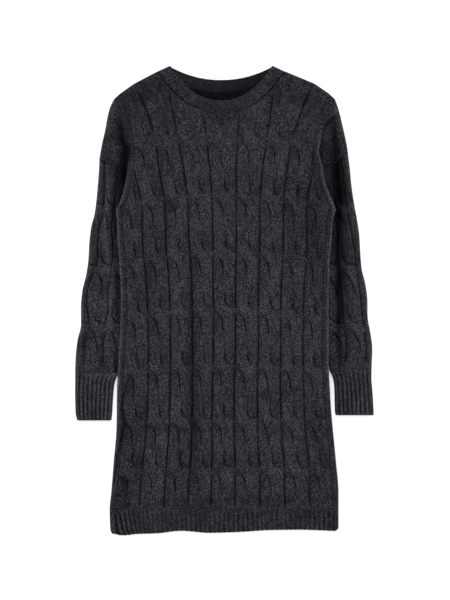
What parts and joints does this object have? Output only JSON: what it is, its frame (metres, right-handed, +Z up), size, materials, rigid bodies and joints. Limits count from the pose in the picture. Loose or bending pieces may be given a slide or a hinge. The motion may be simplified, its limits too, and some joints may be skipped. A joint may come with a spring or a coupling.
{
  "type": "sweater dress",
  "caption": "Knee-length cable-knit sweater dress, lying flat with its front up, with a crew neck, long drop-shoulder sleeves, ribbed cuffs and a ribbed hem.",
  "frame": {"origin": "middle of the footprint, on the surface the dress lies on", "axes": "+Y from the hem to the neck, +X to the viewer's right looking down on the front, +Z up out of the surface"},
  "size_m": [0.5709, 0.898, 0.019],
  "materials": {
    "cable_knit": "matt heathered charcoal wool",
    "rib_knit": "matt heathered charcoal wool, ribbed"
  },
  "bodies": {
    "root": {"front": "cable_knit", "back": "cable_knit", "sleeve_left": "cable_knit", "sleeve_right": "cable_knit", "neckband": "rib_knit", "cuff_left": "rib_knit", "cuff_right": "rib_knit", "hem_front": "rib_knit", "hem_back": "rib_knit"}
  },
  "joints": []
}
